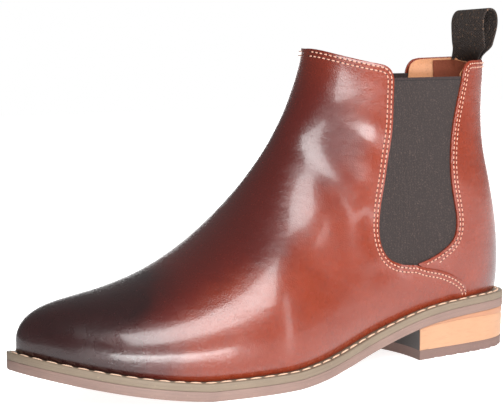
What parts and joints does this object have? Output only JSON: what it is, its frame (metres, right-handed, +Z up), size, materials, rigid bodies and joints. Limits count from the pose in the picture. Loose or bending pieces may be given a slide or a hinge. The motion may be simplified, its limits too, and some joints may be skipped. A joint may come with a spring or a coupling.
{
  "type": "chelsea boot",
  "caption": "Ankle-high leather boot with elastic side gores, a webbing pull loop at the back, a stitched welt and a low stacked heel.",
  "frame": {"origin": "on the ground, centred under the boot's box", "axes": "-X towards the toe, -Y the outer (lateral) side of a left boot, +Y the inner side, +Z up"},
  "size_m": [0.308, 0.107, 0.1965],
  "materials": {
    "upper_leather": "burnished smooth tan leather, near-black at the toe",
    "lining_leather": "natural tan lining leather",
    "grip_leather": "reddish brown suede-like heel grip",
    "elastic": "dark brown ribbed elastic",
    "webbing": "dark brown woven webbing",
    "backing_cloth": "plain cotton backing",
    "stiffener": "pressed fibre stiffener",
    "insole_fibre": "insole fibreboard",
    "sock_leather": "tan sock leather",
    "pad_foam": "soft heel foam",
    "filler_cork": "ground cork filler",
    "shank_steel": "plain spring steel",
    "welt_rubber": "taupe welt",
    "sole_rubber": "taupe outsole edge",
    "heel_leather": "natural stacked leather",
    "wedge_leather": "thin leather wedge",
    "top_rubber": "brown rubber top piece",
    "nail_steel": "plain steel nails",
    "welt_thread": "waxed cream thread"
  },
  "bodies": {
    "boot": {"vamp": "upper_leather", "back_quarter": "upper_leather", "gore_lateral": "elastic", "gore_medial": "elastic", "vamp_backer": "backing_cloth", "toe_puff": "stiffener", "heel_counter": "stiffener", "vamp_lining": "lining_leather", "quarter_lining_lateral": "lining_leather", "quarter_lining_medial": "lining_leather", "heel_grip": "grip_leather", "pull_tab_anchor": "webbing", "insole_board": "insole_fibre", "sock_liner": "sock_leather", "heel_pad": "pad_foam", "shank": "shank_steel", "bottom_filler": "filler_cork", "welt": "welt_rubber", "outsole": "sole_rubber", "heel_wedge": "wedge_leather", "heel_block": "heel_leather", "top_piece": "top_rubber", "heel_nails": "nail_steel", "welt_stitching": "welt_thread"},
    "pull_loop": {"pull_tab": "webbing"}
  },
  "joints": [
    {"name": "pull_tab_fold", "type": "hinge", "parent": "boot", "child": "pull_loop", "pos_m": [0.14, 0, 0.1702], "axis": [0, 1, 0], "range_deg": [-75, 60], "stiffness_Nm_per_rad": 0.004}
  ]
}
